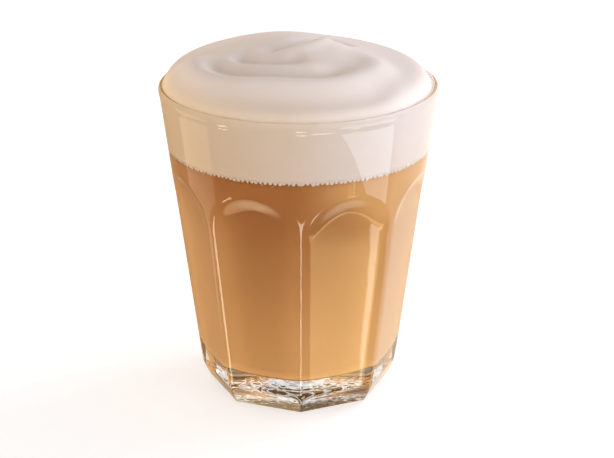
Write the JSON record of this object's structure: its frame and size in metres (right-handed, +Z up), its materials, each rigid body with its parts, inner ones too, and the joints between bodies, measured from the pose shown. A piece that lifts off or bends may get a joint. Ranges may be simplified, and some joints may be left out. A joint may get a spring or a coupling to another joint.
{
  "type": "protein latte",
  "caption": "Milk coffee with a domed, swirled milk foam in a thick-based tumbler with flat arched panels.",
  "frame": {"origin": "centre of the foot, on the surface that the glass stands on", "axes": "+Z up along the glass's axis, -Y towards the ridge between two panels that faces the viewer, +X to the viewer's right"},
  "size_m": [0.088, 0.088, 0.1156],
  "materials": {
    "glass": "clear pressed glass, fire-polished",
    "coffee": "opaque milky liquid",
    "foam": "fine soft milk foam"
  },
  "bodies": {
    "root": {"glass": "glass", "coffee": "coffee", "foam": "foam"}
  },
  "joints": []
}
